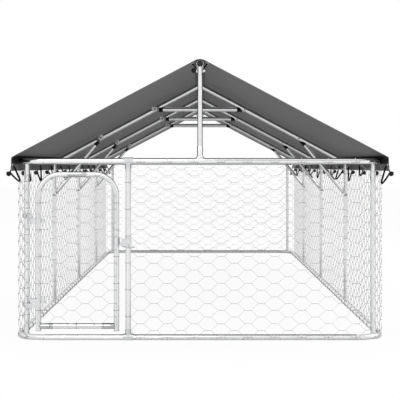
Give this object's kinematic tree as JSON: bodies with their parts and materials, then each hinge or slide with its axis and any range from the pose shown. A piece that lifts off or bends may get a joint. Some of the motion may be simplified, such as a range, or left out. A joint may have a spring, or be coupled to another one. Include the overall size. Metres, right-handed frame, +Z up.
{
  "type": "walk-in dog kennel",
  "caption": "Long low dog kennel with a round tube frame, hexagonal wire netting, a hinged arched tube door with a lift latch, and a dark sheet gable roof.",
  "frame": {"origin": "on the ground under the middle of the kennel", "axes": "+Z up, X across the door end, -Y towards the door end, +Y along the kennel to the far end"},
  "size_m": [1.9874, 6.08, 1.4849],
  "materials": {
    "galvanised_tube": "galvanised steel tube, satin",
    "zinc_hardware": "zinc plated clamps, bolts, hinges and latch",
    "netting_wire": "galvanised hexagonal wire netting",
    "roof_sheet": "woven sheet with a dull coating, dark grey"
  },
  "bodies": {
    "kennel": {"bottom_rail_front": "galvanised_tube", "bottom_rail_back": "galvanised_tube", "bottom_rail_left": "galvanised_tube", "bottom_rail_right": "galvanised_tube", "top_rail_front": "galvanised_tube", "top_rail_back": "galvanised_tube", "top_rail_left": "galvanised_tube", "top_rail_right": "galvanised_tube", "corner_post_front_left": "galvanised_tube", "corner_post_front_right": "galvanised_tube", "corner_post_back_left": "galvanised_tube", "corner_post_back_right": "galvanised_tube", "side_post_left_1": "galvanised_tube", "side_post_left_2": "galvanised_tube", "side_post_left_3": "galvanised_tube", "side_post_right_1": "galvanised_tube", "side_post_right_2": "galvanised_tube", "side_post_right_3": "galvanised_tube", "door_post": "galvanised_tube", "king_post_front": "galvanised_tube", "king_post_back": "galvanised_tube", "ridge_pole": "galvanised_tube", "rafter_left_1": "galvanised_tube", "rafter_left_2": "galvanised_tube", "rafter_left_3": "galvanised_tube", "rafter_right_1": "galvanised_tube", "rafter_right_2": "galvanised_tube", "rafter_right_3": "galvanised_tube", "collar_tie_1": "galvanised_tube", "collar_tie_2": "galvanised_tube", "collar_tie_3": "galvanised_tube", "knee_brace_left_1": "galvanised_tube", "knee_brace_left_2": "galvanised_tube", "knee_brace_left_3": "galvanised_tube", "knee_brace_right_1": "galvanised_tube", "knee_brace_right_2": "galvanised_tube", "knee_brace_right_3": "galvanised_tube", "ridge_clamp_front": "zinc_hardware", "ridge_clamp_back": "zinc_hardware", "door_post_clamp_top": "zinc_hardware", "door_post_clamp_bottom": "zinc_hardware", "netting_front": "netting_wire", "netting_back": "netting_wire", "netting_left": "netting_wire", "netting_right": "netting_wire", "netting_corner_front_left": "netting_wire", "netting_corner_front_right": "netting_wire", "netting_corner_back_left": "netting_wire", "netting_corner_back_right": "netting_wire", "tarp_roof": "roof_sheet", "hinge_pintle_upper": "zinc_hardware", "hinge_pintle_lower": "zinc_hardware", "latch_keeper": "zinc_hardware"},
    "door": {"door_frame": "galvanised_tube", "door_cross_tube": "galvanised_tube", "netting_door": "netting_wire", "hinge_strap_upper": "zinc_hardware", "hinge_strap_lower": "zinc_hardware", "latch_bracket": "zinc_hardware"},
    "latch": {"latch_plate": "zinc_hardware"}
  },
  "joints": [
    {"name": "door_swing", "type": "hinge", "parent": "kennel", "child": "door", "pos_m": [-0.893, -3, 0.6435], "axis": [0, 0, -1], "range_deg": [0, 135]},
    {"name": "latch_lift", "type": "hinge", "parent": "door", "child": "latch", "pos_m": [-0.418, -3.022, 0.508], "axis": [0, -1, 0], "range_deg": [0, 95]}
  ]
}
